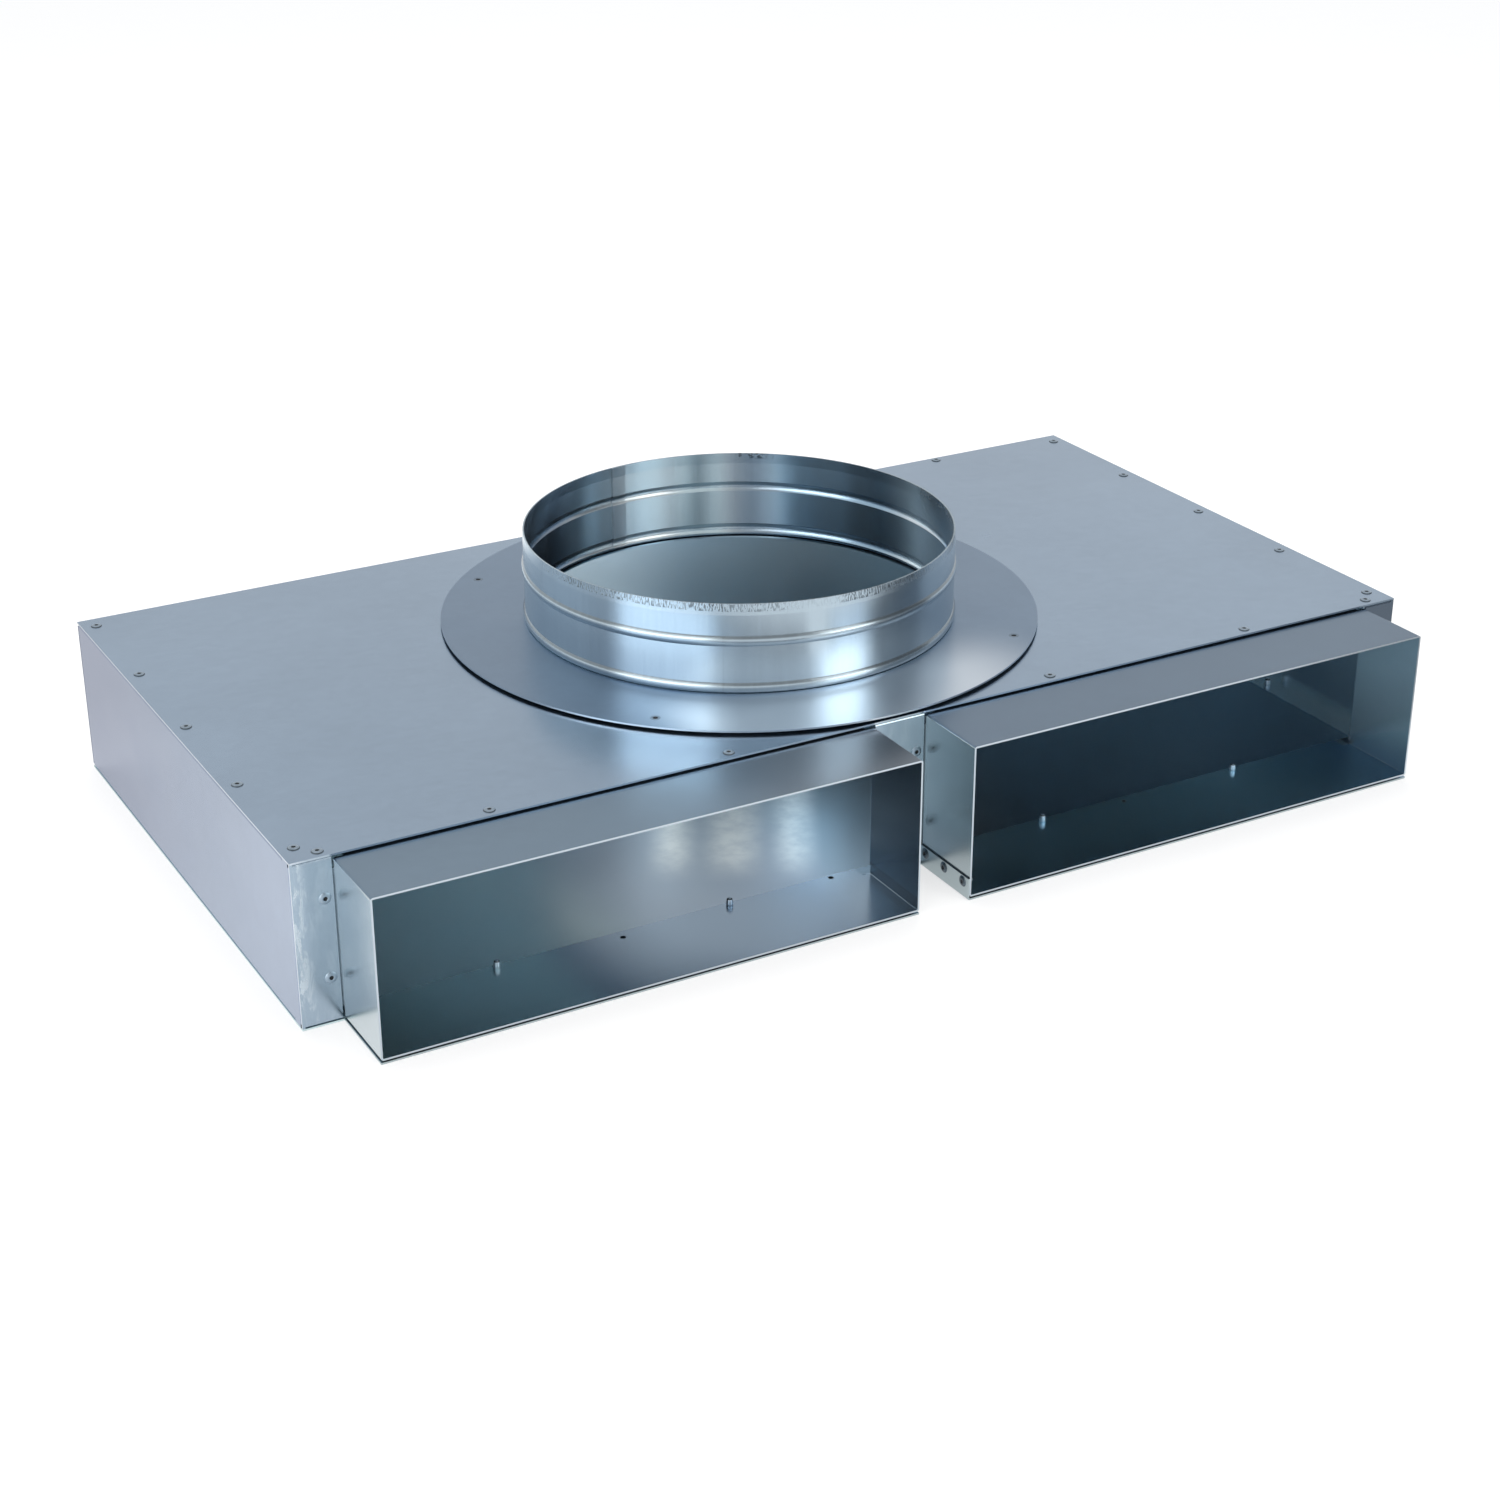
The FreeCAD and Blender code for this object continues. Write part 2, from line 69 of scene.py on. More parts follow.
# Shader graph helpers
class Graph:
    """Short calls for building one material's nodes."""

    def __init__(self, name):
        self.material = bpy.data.materials.new(name)
        self.material.use_nodes = True
        self.nodes = self.material.node_tree.nodes
        self.links = self.material.node_tree.links
        self.nodes.clear()
        self.output = self.nodes.new("ShaderNodeOutputMaterial")

    def add(self, kind, **values):
        node = self.nodes.new(kind)
        for key, value in values.items():
            setattr(node, key, value)
        return node

    def feed(self, socket, value):
        if isinstance(value, bpy.types.NodeSocket):
            self.links.new(value, socket)
        else:
            socket.default_value = value

    def math(self, operation, a, b=0.0, clamp=False):
        node = self.add("ShaderNodeMath", operation=operation, use_clamp=clamp)
        self.feed(node.inputs[0], a)
        self.feed(node.inputs[1], b)
        return node.outputs[0]

    def plus(self, first, *others):
        for other in others:
            first = self.math("ADD", first, other)
        return first

    def times(self, first, *others):
        for other in others:
            first = self.math("MULTIPLY", first, other)
        return first

    def minus(self, a, b):
        return self.math("SUBTRACT", a, b)

    def above(self, value, limit):
        return self.math("GREATER_THAN", value, limit)

    def below(self, value, limit):
        return self.math("LESS_THAN", value, limit)

    def between(self, value, low, high):
        return self.times(self.above(value, low), self.below(value, high))

    def size(self, value):
        return self.math("ABSOLUTE", value)

    def where(self):
        return self.add("ShaderNodeTexCoord").outputs["Object"]

    def normal(self):
        return self.split(self.add("ShaderNodeNewGeometry").outputs["True Normal"])

    def split(self, vector):
        node = self.add("ShaderNodeSeparateXYZ")
        self.feed(node.inputs[0], vector)
        return node.outputs[0], node.outputs[1], node.outputs[2]

    def stretched(self, vector, scale):
        node = self.add("ShaderNodeMapping")
        self.feed(node.inputs["Vector"], vector)
        node.inputs["Scale"].default_value = scale
        return node.outputs[0]

    def noise(self, vector, scale, detail=3.0, rough=0.5, distortion=0.0):
        node = self.add("ShaderNodeTexNoise")
        self.feed(node.inputs["Vector"], vector)
        node.inputs["Scale"].default_value = scale
        node.inputs["Detail"].default_value = detail
        node.inputs["Roughness"].default_value = rough
        node.inputs["Distortion"].default_value = distortion
        return node.outputs["Fac"]

    def cells(self, vector, scale, feature="F1"):
        node = self.add("ShaderNodeTexVoronoi", feature=feature)
        self.feed(node.inputs["Vector"], vector)
        node.inputs["Scale"].default_value = scale
        return node.outputs

    def span(self, value, low, high, to_low, to_high, smooth=False):
        kind = "SMOOTHSTEP" if smooth else "LINEAR"
        node = self.add("ShaderNodeMapRange", interpolation_type=kind, clamp=True)
        self.feed(node.inputs["Value"], value)
        ends = {"From Min": low, "From Max": high, "To Min": to_low, "To Max": to_high}
        for key, number in ends.items():
            self.feed(node.inputs[key], number)
        return node.outputs[0]

    def rise(self, value, low, high, top=1.0):
        """Smooth step from nothing up to top."""
        return self.span(value, low, high, 0.0, top, True)

    def fall(self, value, low, high, top=1.0):
        """Smooth step from top down to nothing."""
        return self.span(value, low, high, top, 0.0, True)

    def near(self, value, centre, full, gone, top=1.0):
        """Top while the value is within full of the centre, nothing once it is gone away."""
        return self.fall(self.size(self.minus(value, centre)), full, gone, top)

    def sway(self, noise, reach, middle=0.0):
        """Noise turned into a number that sways about the middle by reach."""
        return self.span(noise, *NOISE_RANGE, middle - reach, middle + reach)

    def scaled(self, colour, factor):
        node = self.add("ShaderNodeVectorMath", operation="SCALE")
        self.feed(node.inputs[0], colour)
        self.feed(node.inputs["Scale"], factor)
        return node.outputs[0]

    def mix(self, factor, a, b):
        """Colour a where the factor is 0, and b where it is 1."""
        node = self.add("ShaderNodeMix", data_type="RGBA")
        self.feed(node.inputs["Factor"], factor)
        for socket, colour in ((node.inputs[6], a), (node.inputs[7], b)):
            self.feed(socket, colour + OPAQUE if isinstance(colour, tuple) else colour)
        return node.outputs[2]

    def bump(self, height, distance, normal=None):
        node = self.add("ShaderNodeBump")
        node.inputs["Distance"].default_value = distance
        self.feed(node.inputs["Height"], height)
        if normal is not None:
            self.feed(node.inputs["Normal"], normal)
        return node.outputs[0]

    def principled(self, **inputs):
        node = self.add("ShaderNodeBsdfPrincipled")
        for key, value in inputs.items():
            self.feed(node.inputs[key.replace("_", " ")], value)
        self.links.new(node.outputs[0], self.output.inputs[0])
        return node


# Zinc-coated sheet. A noise is its scale, detail, roughness and distortion
CLOUD_NOISE = (5.5, 1.5, 0.5, 0.4)
PATCH_NOISE = (38.0, 3.0, 0.6)
GRAIN_NOISE = (900.0, 2.0, 0.6)
SHEEN_NOISE = (16.0, 1.0, 0.5)
WAVE_NOISE = (7.0, 1.5, 0.4)
CRYSTAL_SCALE = 190.0
PATCH_RANGE = (0.25, 0.75)
PATCH_TONE, FLECK_TONE, GRAIN_TONE = 0.02, 0.012, 0.010
SHEEN, GRAIN_SHEEN = 0.02, 0.01
FLECK_DEPTH, GRAIN_DEPTH, SCUFF_DEPTH = 0.000002, 0.0000015, 0.0001
SCUFF_STRETCH = (1.0, 0.18, 1.0)
SCUFF_SCALE, SCUFF_WIDTH = 21.0, 0.012
SCUFF_PLACES = (11.0, 2.0)
SCUFF_PLACES_RANGE = (0.6, 0.72)
SCUFF_TONE = 0.35


class Sheet(Graph):
    """Zinc-coated sheet: clouded tone, faint spangle, rolling grain, slight waviness and light
    scuffs. Level faces, upright faces and the faces that look at the centre have a tone each,
    which is painted light and shade by the way a face turns."""

    def __init__(self, name, level, upright, inner, centre, rough,
                 along=(1.0, 1.0, 1.0), wave=0.00035, scuffs=0.10):
        super().__init__(name)
        self.place = self.where()
        self.spot = self.split(self.place)
        self.facing = self.normal()
        outward = 0.0
        for turn, here, middle in zip(self.facing, self.spot, centre):
            outward = self.plus(self.times(turn, self.minus(here, middle)), outward)
        self.inside = self.below(outward, 0.0)
        outside = self.minus(1.0, self.inside)
        self.steep = self.below(self.size(self.facing[Z]), TURNED)
        self.level = self.minus(1.0, self.steep)

        patch = self.noise(self.place, *PATCH_NOISE)
        grain = self.noise(self.stretched(self.place, along), *GRAIN_NOISE)
        fleck = self.split(self.cells(self.place, CRYSTAL_SCALE)["Color"])[0]
        speckle = self.plus(self.span(patch, *PATCH_RANGE, -PATCH_TONE, PATCH_TONE),
                            self.span(fleck, 0.0, 1.0, -FLECK_TONE, FLECK_TONE),
                            self.sway(grain, GRAIN_TONE))
        tone = self.sway(self.noise(self.place, *CLOUD_NOISE), CLOUD_TONE, 1.0)
        tone = self.plus(tone, self.times(speckle, outside))

        lines = self.stretched(self.stretched(self.place, SCUFF_STRETCH), along)
        edge = self.cells(lines, SCUFF_SCALE, "DISTANCE_TO_EDGE")["Distance"]
        rare = self.rise(self.noise(self.place, *SCUFF_PLACES), *SCUFF_PLACES_RANGE)
        scuff = self.times(self.fall(edge, 0.0, SCUFF_WIDTH), rare, scuffs, outside)

        # Painted light and shade: each facing gets its own tone
        colour = self.mix(self.inside, self.mix(self.steep, level, upright), inner)
        colour = self.scaled(colour, tone)
        self.colour = self.scaled(colour, self.plus(1.0, self.times(scuff, SCUFF_TONE)))
        sheen = self.noise(self.place, *SHEEN_NOISE)
        sheen = self.span(sheen, *NOISE_RANGE, rough - SHEEN, rough + SHEEN, True)
        self.rough = self.plus(sheen, self.times(self.sway(grain, GRAIN_SHEEN), outside), scuff)
        bumps = self.bump(self.noise(self.place, *WAVE_NOISE), wave)
        bumps = self.bump(self.times(fleck, outside), FLECK_DEPTH, bumps)
        bumps = self.bump(self.times(grain, outside), GRAIN_DEPTH, bumps)
        self.bumps = self.bump(scuff, SCUFF_DEPTH, bumps)

    def zone(self, *steps):
        """Mask made of smooth steps: for each, the axis, its two places and the values there."""
        return self.times(*(self.span(self.spot[axis], *ends, True) for axis, *ends in steps))

    def tint(self, mask, rgb, rough=None):
        """Lays another tone, and with rough another roughness, over part of the sheet."""
        self.colour = self.mix(mask, self.colour, rgb)
        if rough is not None:
            kept = self.times(self.rough, self.minus(1.0, mask))
            self.rough = self.plus(kept, self.times(mask, rough))

    def over_spigots(self):
        """Where a front edge runs over one of the two spigots, or right of them."""
        left = self.between(self.spot[X], -OUTER_X, -INNER_X)
        return self.math("MAXIMUM", left, self.above(self.spot[X], INNER_X))

    def finished(self):
        self.principled(Base_Color=self.colour, Metallic=1.0, Roughness=self.rough,
                        Normal=self.bumps)
        return self.material


# Inside of the box, seen through the spigots and the collar: a tone that paints in light on the
# inside faces
INNER = (0.39, 0.495, 0.575)


def lid_finish():
    top, edge, front_edge = (0.38, 0.485, 0.61), (0.55, 0.62, 0.70), (0.28, 0.36, 0.45)
    sheet = Sheet("lid_sheet", top, edge, INNER, BOX_MIDDLE, rough=0.22,
                  along=(0.04, 1.0, 1.0))
    # Painted shade: the front cut edge is darker and rougher where it runs over the spigots and
    # right of them, above the groove there
    front = sheet.times(sheet.steep, sheet.below(sheet.spot[Y], FRONT_Y + HAIR))
    sheet.tint(sheet.times(front, sheet.over_spigots()), front_edge, rough=0.4)
    return sheet.finished()


# The base's tones by place, painted light and shade inside the box: the tone, and the steps of its
# zone
FRONT_PART = (Y, -0.02, 0.02, 1.0, 0.0)
BASE_ZONES = (
    ((0.30, 0.43, 0.545), ((X, 0.03, 0.09, 0.0, 1.0),)),
    ((0.60, 0.73, 0.75), ((X, -0.22, -0.13, 1.0, 0.0),)),
    ((0.415, 0.50, 0.595), ((X, -0.18, -0.13, 0.0, 1.0), (X, -0.05, -0.02, 1.0, 0.0), FRONT_PART)),
    ((0.24, 0.31, 0.36), ((X, -0.035, 0.02, 0.0, 0.9), (X, 0.06, 0.14, 1.0, 0.0), FRONT_PART)),
    ((0.29, 0.36, 0.41), ((Y, 0.0, 0.05, 0.0, 0.8), (X, -0.04, 0.06, 0.0, 1.0))),
)
# Painted reflections: soft bright patches on the base that run away from the camera, each as
# its middle, half width and strength
VIEW_COS, VIEW_SIN = 0.872, 0.489
PATCH_NEAR_END, PATCH_FAR_END = (-0.150, -0.105), (-0.04, 0.0)
PATCH_MOTTLE = (90.0, 3.0, 0.6)
PATCH_MOTTLE_SPAN = (0.35, 0.6, 0.7, 1.0)
FLOOR_PATCHES = ((-0.0497, 0.018, 0.8), (-0.0162, 0.024, 1.0), (0.0172, 0.018, 0.85))


def base_finish():
    """Base: painted light and shade in zones inside, painted reflections as bright patches,
    painted shade on the tops of its lips, plain ends of its tongues.
    """
    side, glow, lip_top = (0.40, 0.47, 0.49), (0.95, 1.0, 1.0), (0.05, 0.065, 0.08)
    sheet = Sheet("base_sheet", INNER, side, INNER, BOX_MIDDLE, rough=0.31, scuffs=0.0)
    x, y, z = sheet.spot
    # Painted light and shade, zone by zone
    for rgb, steps in BASE_ZONES:
        sheet.tint(sheet.zone(*steps), rgb)
    lateral = sheet.minus(sheet.times(x, VIEW_COS), sheet.times(y, VIEW_SIN))
    forward = sheet.plus(sheet.times(x, VIEW_SIN), sheet.times(y, VIEW_COS))
    reach = sheet.times(sheet.rise(forward, *PATCH_NEAR_END), sheet.fall(forward, *PATCH_FAR_END))
    mottle = sheet.span(sheet.noise(sheet.place, *PATCH_MOTTLE), *PATCH_MOTTLE_SPAN)
    # Painted reflections: bright mottled patches laid in rows
    for centre, half, strength in FLOOR_PATCHES:
        row = sheet.near(lateral, centre, 0.0, half, strength)
        sheet.tint(sheet.times(row, sheet.times(reach, mottle)), glow)
    # Painted shade: dark, rougher tops of the upturned lips, for the gap along the wall
    sheet.tint(sheet.times(sheet.level, sheet.above(z, LIP_BOTTOM)), lip_top, rough=0.5)
    sheet.tint(sheet.times(sheet.steep, sheet.below(y, FRONT_Y - HAIR)), side, rough=0.3)
    return sheet.finished()


def wall_finish():
    """Side and back walls: painted shade that darkens the outer sides toward the back, and painted
    light and shade in three tones inside.
    """
    level, side, side_back = (0.38, 0.46, 0.58), (0.34, 0.405, 0.52), (0.325, 0.365, 0.49)
    rear_inside, dip_inside = (0.68, 0.73, 0.75), (0.39, 0.46, 0.50)
    right_inside = (0.74, 0.86, 0.92)
    sheet = Sheet("wall_sheet", level, side, INNER, BOX_MIDDLE, rough=0.24,
                  along=(1.0, 0.04, 0.3))
    x, y, _ = sheet.spot
    # Painted shade: the outer sides darken toward the back
    back = sheet.times(sheet.zone((Y, -0.05, REAR_Y, 0.0, 0.8)),
                       sheet.above(sheet.size(x), SIDE_FACE_X))
    sheet.tint(back, side_back)
    # Painted light and shade inside: a pale back wall with a darker dip, and a pale right wall
    rear = sheet.times(sheet.inside, sheet.above(y, REAR_Y))
    sheet.tint(rear, rear_inside)
    dip = sheet.zone((X, -0.01, 0.07, 0.0, 1.0), (X, 0.10, 0.18, 1.0, 0.0))
    sheet.tint(sheet.times(rear, dip), dip_inside)
    sheet.tint(sheet.times(sheet.inside, sheet.above(x, RIGHT_WALL_X)), right_inside)
    return sheet.finished()


SMEAR_STRETCH = (1.0, 1.0, 0.25)
SMEAR_NOISE = (170.0, 4.0, 0.7, 0.6)
SMEAR_RANGE = (0.50, 0.66)
SMEAR_FADE = (X, -0.3445, -0.334, 0.75, 0.15)
RIGHT_STRIP_COVER = 0.9


def front_finish():
    """Front wall: handling marks on the end strips, a painted highlight on the cut ends, and
    painted shade on the right strip and on the fold over the spigots."""
    plain, handled, ends = (0.36, 0.45, 0.54), (0.64, 0.72, 0.78), (0.72, 0.78, 0.83)
    right_strip, dark_fold = (0.155, 0.20, 0.26), (0.02, 0.027, 0.035)
    sheet = Sheet("front_sheet", plain, plain, INNER, BOX_MIDDLE, rough=0.22,
                  along=(0.3, 1.0, 0.06))
    x, _, z = sheet.spot
    smear = sheet.noise(sheet.stretched(sheet.place, SMEAR_STRETCH), *SMEAR_NOISE)
    smear = sheet.times(sheet.rise(smear, *SMEAR_RANGE), sheet.zone(SMEAR_FADE))
    sheet.tint(smear, handled, rough=0.32)
    # Painted highlight: the cut ends that face sideways are bright
    sheet.tint(sheet.above(sheet.size(sheet.facing[X]), TURNED), ends, rough=0.3)
    # Painted shade: the right end strip is made darker
    sheet.tint(sheet.times(sheet.above(x, OUTER_X), RIGHT_STRIP_COVER), right_strip)
    # Painted shade: the fold over the spigots is near black, for the groove under the lid
    fold = sheet.times(sheet.over_spigots(), sheet.below(x, OUTER_X))
    sheet.tint(sheet.times(fold, sheet.above(z, FOLD_BOTTOM)), dark_fold, rough=0.6)
    return sheet.finished()


def ring_finish():
    """Flange ring, with a painted reflection that makes it brighter at its front."""
    level, edge, bright = (0.245, 0.33, 0.44), (0.5, 0.58, 0.66), (0.74, 0.82, 0.91)
    sheet = Sheet("ring_sheet", level, edge, INNER, RING_MIDDLE, rough=0.34,
                  along=(0.05, 1.0, 1.0), wave=0.0002, scuffs=0.04)
    # Painted reflection: the level front of the ring is brighter
    front = sheet.zone((Y, -0.12, -0.06, 1.0, 0.0), (X, 0.05, 0.13, 1.0, 0.0),
                       (X, -0.125, -0.09, 0.0, 1.0))
    sheet.tint(sheet.times(front, sheet.level), bright, rough=0.285)
    return sheet.finished()


# The spigots' tones, painted light and shade for each spigot and facing, with the painted light of
# the floor's pale end and where it fades
LEFT_SPIGOT = {"side": (0.59, 0.66, 0.69), "level": (0.24, 0.325, 0.415),
               "inner": (0.325, 0.42, 0.525), "wall": (0.50, 0.66, 0.80),
               "pale": (0.58, 0.72, 0.74), "fade": (X, -0.225, -0.19, 1.0, 0.0)}
RIGHT_SPIGOT = {"side": (0.53, 0.60, 0.61), "level": (0.20, 0.27, 0.355),
                "inner": (0.20, 0.39, 0.60), "wall": (0.76, 0.86, 0.88),
                "pale": (0.58, 0.86, 1.0), "fade": (X, 0.24, 0.33, 1.0, 0.0)}
FLOOR_RIGHT_FADE = (X, -0.06, -0.02, 0.0, 1.0)
TOP_GLOW_FADE = (X, -0.14, -0.06, 0.0, 1.0)
# Left wall of the right spigot, darker at its foot
INNER_WALL = (0.0155, 0.0175)
FOOT_FADE = (Z, 0.015, 0.045, 0.7, 0.0)
# Small dark dots on the floor: x, y and radius
DARK_FLOOR_DOTS = ((-0.167, -0.1475, 0.0019), (-0.0384, -0.1438, 0.0019), (0.157, -0.146, 0.0016))
DOT_CORE = 0.6


def sleeve_finish(name, middle, tones):
    """Spigot sheet, with painted light and shade inside, a painted highlight on the cut edge at
    the mouth and small dark dots on its floor.
    """
    floor_right, top_glow, foot = (0.45, 0.55, 0.64), (0.255, 0.29, 0.335), (0.36, 0.42, 0.45)
    cut, dot_tone = (0.50, 0.57, 0.63), (0.01, 0.018, 0.026)
    sheet = Sheet(name, tones["level"], tones["side"], tones["inner"],
                  (middle, SPIGOT_Y, BOX_MIDDLE[Z]), rough=0.24, along=(0.3, 1.0, 0.3),
                  scuffs=0.02)
    x, y, z = sheet.spot
    low, left = sheet.below(z, FLOOR_TOP), sheet.below(x, 0.0)
    # Painted light and shade inside: inner walls, the floor's pale end and the left spigot's
    # lighter right end
    sheet.tint(sheet.times(sheet.inside, sheet.steep), tones["wall"])
    floor_part = sheet.times(sheet.inside, low)
    sheet.tint(sheet.times(floor_part, sheet.zone(tones["fade"])), tones["pale"])
    right_end = sheet.times(sheet.zone(FLOOR_RIGHT_FADE), left)
    sheet.tint(sheet.times(floor_part, right_end), floor_right)
    # Painted reflection: a greyer tone over the right part of the left spigot's top
    top = sheet.times(sheet.level, sheet.above(z, SLEEVE_TOP))
    sheet.tint(sheet.times(sheet.zone(TOP_GLOW_FADE), left, top), top_glow)
    sheet.tint(sheet.times(sheet.between(x, *INNER_WALL), sheet.zone(FOOT_FADE)), foot)
    # Painted highlight: the cut edge at the mouth is bright
    sheet.tint(sheet.below(sheet.facing[Y], -TURNED), cut, rough=0.3)
    for dot_x, dot_y, radius in DARK_FLOOR_DOTS:
        dx, dy = sheet.minus(x, dot_x), sheet.minus(y, dot_y)
        away = sheet.math("SQRT", sheet.plus(sheet.times(dx, dx), sheet.times(dy, dy)))
        dot = sheet.fall(away, radius * DOT_CORE, radius)
        sheet.tint(sheet.times(dot, low), dot_tone, rough=0.7)
    return sheet.finished()


# Collar: tones outside and inside, with painted light and shade and a painted highlight by
# place. Angles are in degrees about its middle, from +X toward +Y
COLLAR_OUTSIDE, COLLAR_LEFT_END = (0.437, 0.53, 0.60), (0.58, 0.70, 0.78)
COLLAR_LEFT_FADE = (-0.122, -0.112)
COLLAR_INSIDE, COLLAR_SHADE = (0.37, 0.53, 0.68), (0.23, 0.28, 0.35)
COLLAR_STEPS = ((40.0, 54.0, (0.26, 0.33, 0.40)), (57.0, 68.0, (0.44, 0.495, 0.53)),
                (108.0, 126.0, COLLAR_SHADE))
COLLAR_GLEAM, GLEAM_AT, GLEAM_FADE = (0.54, 0.67, 0.73), 72.0, (3.0, 11.0)
COLLAR_RIGHT_END, RIGHT_END_FROM, RIGHT_END_TO = (0.72, 0.80, 0.86), (-75.0, -35.0), (2.0, 18.0)
COLLAR_SHADE_TO = (-178.0, -135.0)
STREAK_STRETCH, SOFT_STRETCH, DENT_STRETCH = (1.0, 1.0, 0.05), (1.0, 1.0, 0.25), (1.0, 1.0, 0.3)
STREAK_NOISE = (420.0, 3.0, 0.65)
SOFT_NOISE = (24.0, 3.0, 0.5, 0.6)
COLLAR_GRAIN = (1400.0, 2.0, 0.6)
DENT_NOISE = (16.0, 2.0, 0.4)
STREAK_TONE, COLLAR_GRAIN_TONE = 0.035, 0.015
COLLAR_ROUGH, STREAK_ROUGH = (0.24, 0.262), 0.006
DENT_DEPTH, COLLAR_GRAIN_DEPTH = 0.0004, 0.000006
ANISOTROPY, QUARTER_TURN = 0.55, 0.25
# Knurled strip at the rim, torn nick in the rim, and edge of the lap
KNURL_FROM = (0.1430, 0.1434)
KNURL_NOISE, KNURL_RANGE = (1300.0, 1.0, 0.6), (0.48, 0.58)
WORN_NOISE, WORN_SPAN = (20.0, 1.0), (0.42, 0.58, 0.15, 1.0)
KNURL_TONE, KNURL_ROUGH, KNURL_DEPTH = 0.65, 0.15, 0.00004
NICK_ANGLES, NICK_FROM = (51.0, 61.0), (0.1438, 0.1462)
NICK_NOISE, NICK_RANGE = (330.0, 3.0, 0.7, 0.8), (0.5, 0.6)
NICK_TONE, NICK_DEPTH = 0.7, 0.0003
LAP_AT, LAP_WIDTH, LAP_TONE = -123.0, 0.005, 0.10
# Beads: the crests' heights, then painted shade above each crest and a darker line on it that dims
# its highlight
BEAD_CRESTS = (0.126, 0.0985)
CREASE_ABOVE, CREASE_LINE = 0.0023, (0.0003, 0.0012, 0.5)
CREST_LINE = (0.0004, 0.0012, 0.16)


def collar_metal():
    """Rolled collar sheet: bright, with fine upright streaks, a knurled rim strip, painted shade
    in the creases over its beads and the outer edge of its lap, and painted light and shade by
    place."""
    g = Graph("collar_metal")
    where = g.where()
    x, y, z = g.split(where)
    along, across = g.minus(x, COLLAR_X), g.minus(y, COLLAR_Y)
    angle = g.math("ARCTAN2", across, along)
    nx, ny, _ = g.normal()
    inside = g.below(g.plus(g.times(nx, along), g.times(ny, across)), 0.0)
    outside = g.minus(1.0, inside)

    # Painted light and shade around the inside by angle, with a painted highlight at GLEAM_AT
    inner = COLLAR_INSIDE
    for start, end, rgb in COLLAR_STEPS:
        inner = g.mix(g.rise(angle, *radians((start, end))), inner, rgb)
    inner = g.mix(g.near(angle, math.radians(GLEAM_AT), *radians(GLEAM_FADE)), inner, COLLAR_GLEAM)
    right_end = g.times(g.rise(angle, *radians(RIGHT_END_FROM)),
                        g.fall(angle, *radians(RIGHT_END_TO)))
    inner = g.mix(right_end, inner, COLLAR_RIGHT_END)
    inner = g.mix(g.fall(angle, *radians(COLLAR_SHADE_TO)), inner, COLLAR_SHADE)
    # Painted light: the outside is brighter toward its left end
    outer = g.mix(g.fall(along, *COLLAR_LEFT_FADE), COLLAR_OUTSIDE, COLLAR_LEFT_END)
    sheet = g.mix(inside, outer, inner)

    join = g.add("ShaderNodeCombineXYZ")
    g.feed(join.inputs[X], g.times(angle, COLLAR_RADIUS))
    g.feed(join.inputs[Z], z)
    around = join.outputs[0]
    streak = g.noise(g.stretched(around, STREAK_STRETCH), *STREAK_NOISE)
    soft = g.noise(g.stretched(around, SOFT_STRETCH), *SOFT_NOISE)
    grain = g.noise(where, *COLLAR_GRAIN)
    tone = g.plus(g.sway(soft, CLOUD_TONE, 1.0), g.sway(streak, STREAK_TONE),
                  g.sway(grain, COLLAR_GRAIN_TONE))

    rim = g.times(g.rise(z, *KNURL_FROM), g.below(y, COLLAR_Y))
    ticks = g.rise(g.noise(g.stretched(around, SOFT_STRETCH), *KNURL_NOISE), *KNURL_RANGE)
    worn = g.span(g.noise(around, *WORN_NOISE), *WORN_SPAN, True)
    knurl = g.times(ticks, rim, worn)
    lap = g.near(angle, math.radians(LAP_AT), 0.0, LAP_WIDTH)
    torn = g.rise(g.noise(around, *NICK_NOISE), *NICK_RANGE)
    nick = g.times(g.between(angle, *radians(NICK_ANGLES)), g.rise(z, *NICK_FROM), torn)
    for mark, depth in ((knurl, KNURL_TONE), (lap, LAP_TONE), (nick, NICK_TONE)):
        tone = g.minus(tone, g.times(mark, depth))
    # Painted shade above each bead's crest, and on the crest a darker line that dims its highlight
    for crest in BEAD_CRESTS:
        for height, line in ((crest + CREASE_ABOVE, CREASE_LINE), (crest, CREST_LINE)):
            tone = g.minus(tone, g.times(g.near(z, height, *line), outside))

    rough = g.plus(g.span(soft, *NOISE_RANGE, *COLLAR_ROUGH), g.sway(streak, STREAK_ROUGH),
                   g.times(knurl, KNURL_ROUGH))
    bumps = g.bump(g.noise(g.stretched(around, DENT_STRETCH), *DENT_NOISE), DENT_DEPTH)
    for mark, depth in ((grain, COLLAR_GRAIN_DEPTH), (knurl, KNURL_DEPTH), (nick, NICK_DEPTH)):
        bumps = g.bump(mark, depth, bumps)
    shader = g.principled(Base_Color=g.scaled(sheet, tone), Metallic=1.0, Roughness=rough,
                          Normal=bumps, Anisotropic=ANISOTROPY,
                          Anisotropic_Rotation=QUARTER_TURN)
    tangent = g.add("ShaderNodeTangent", direction_type="RADIAL", axis="Z")
    g.links.new(tangent.outputs[0], shader.inputs["Tangent"])
    return g.material


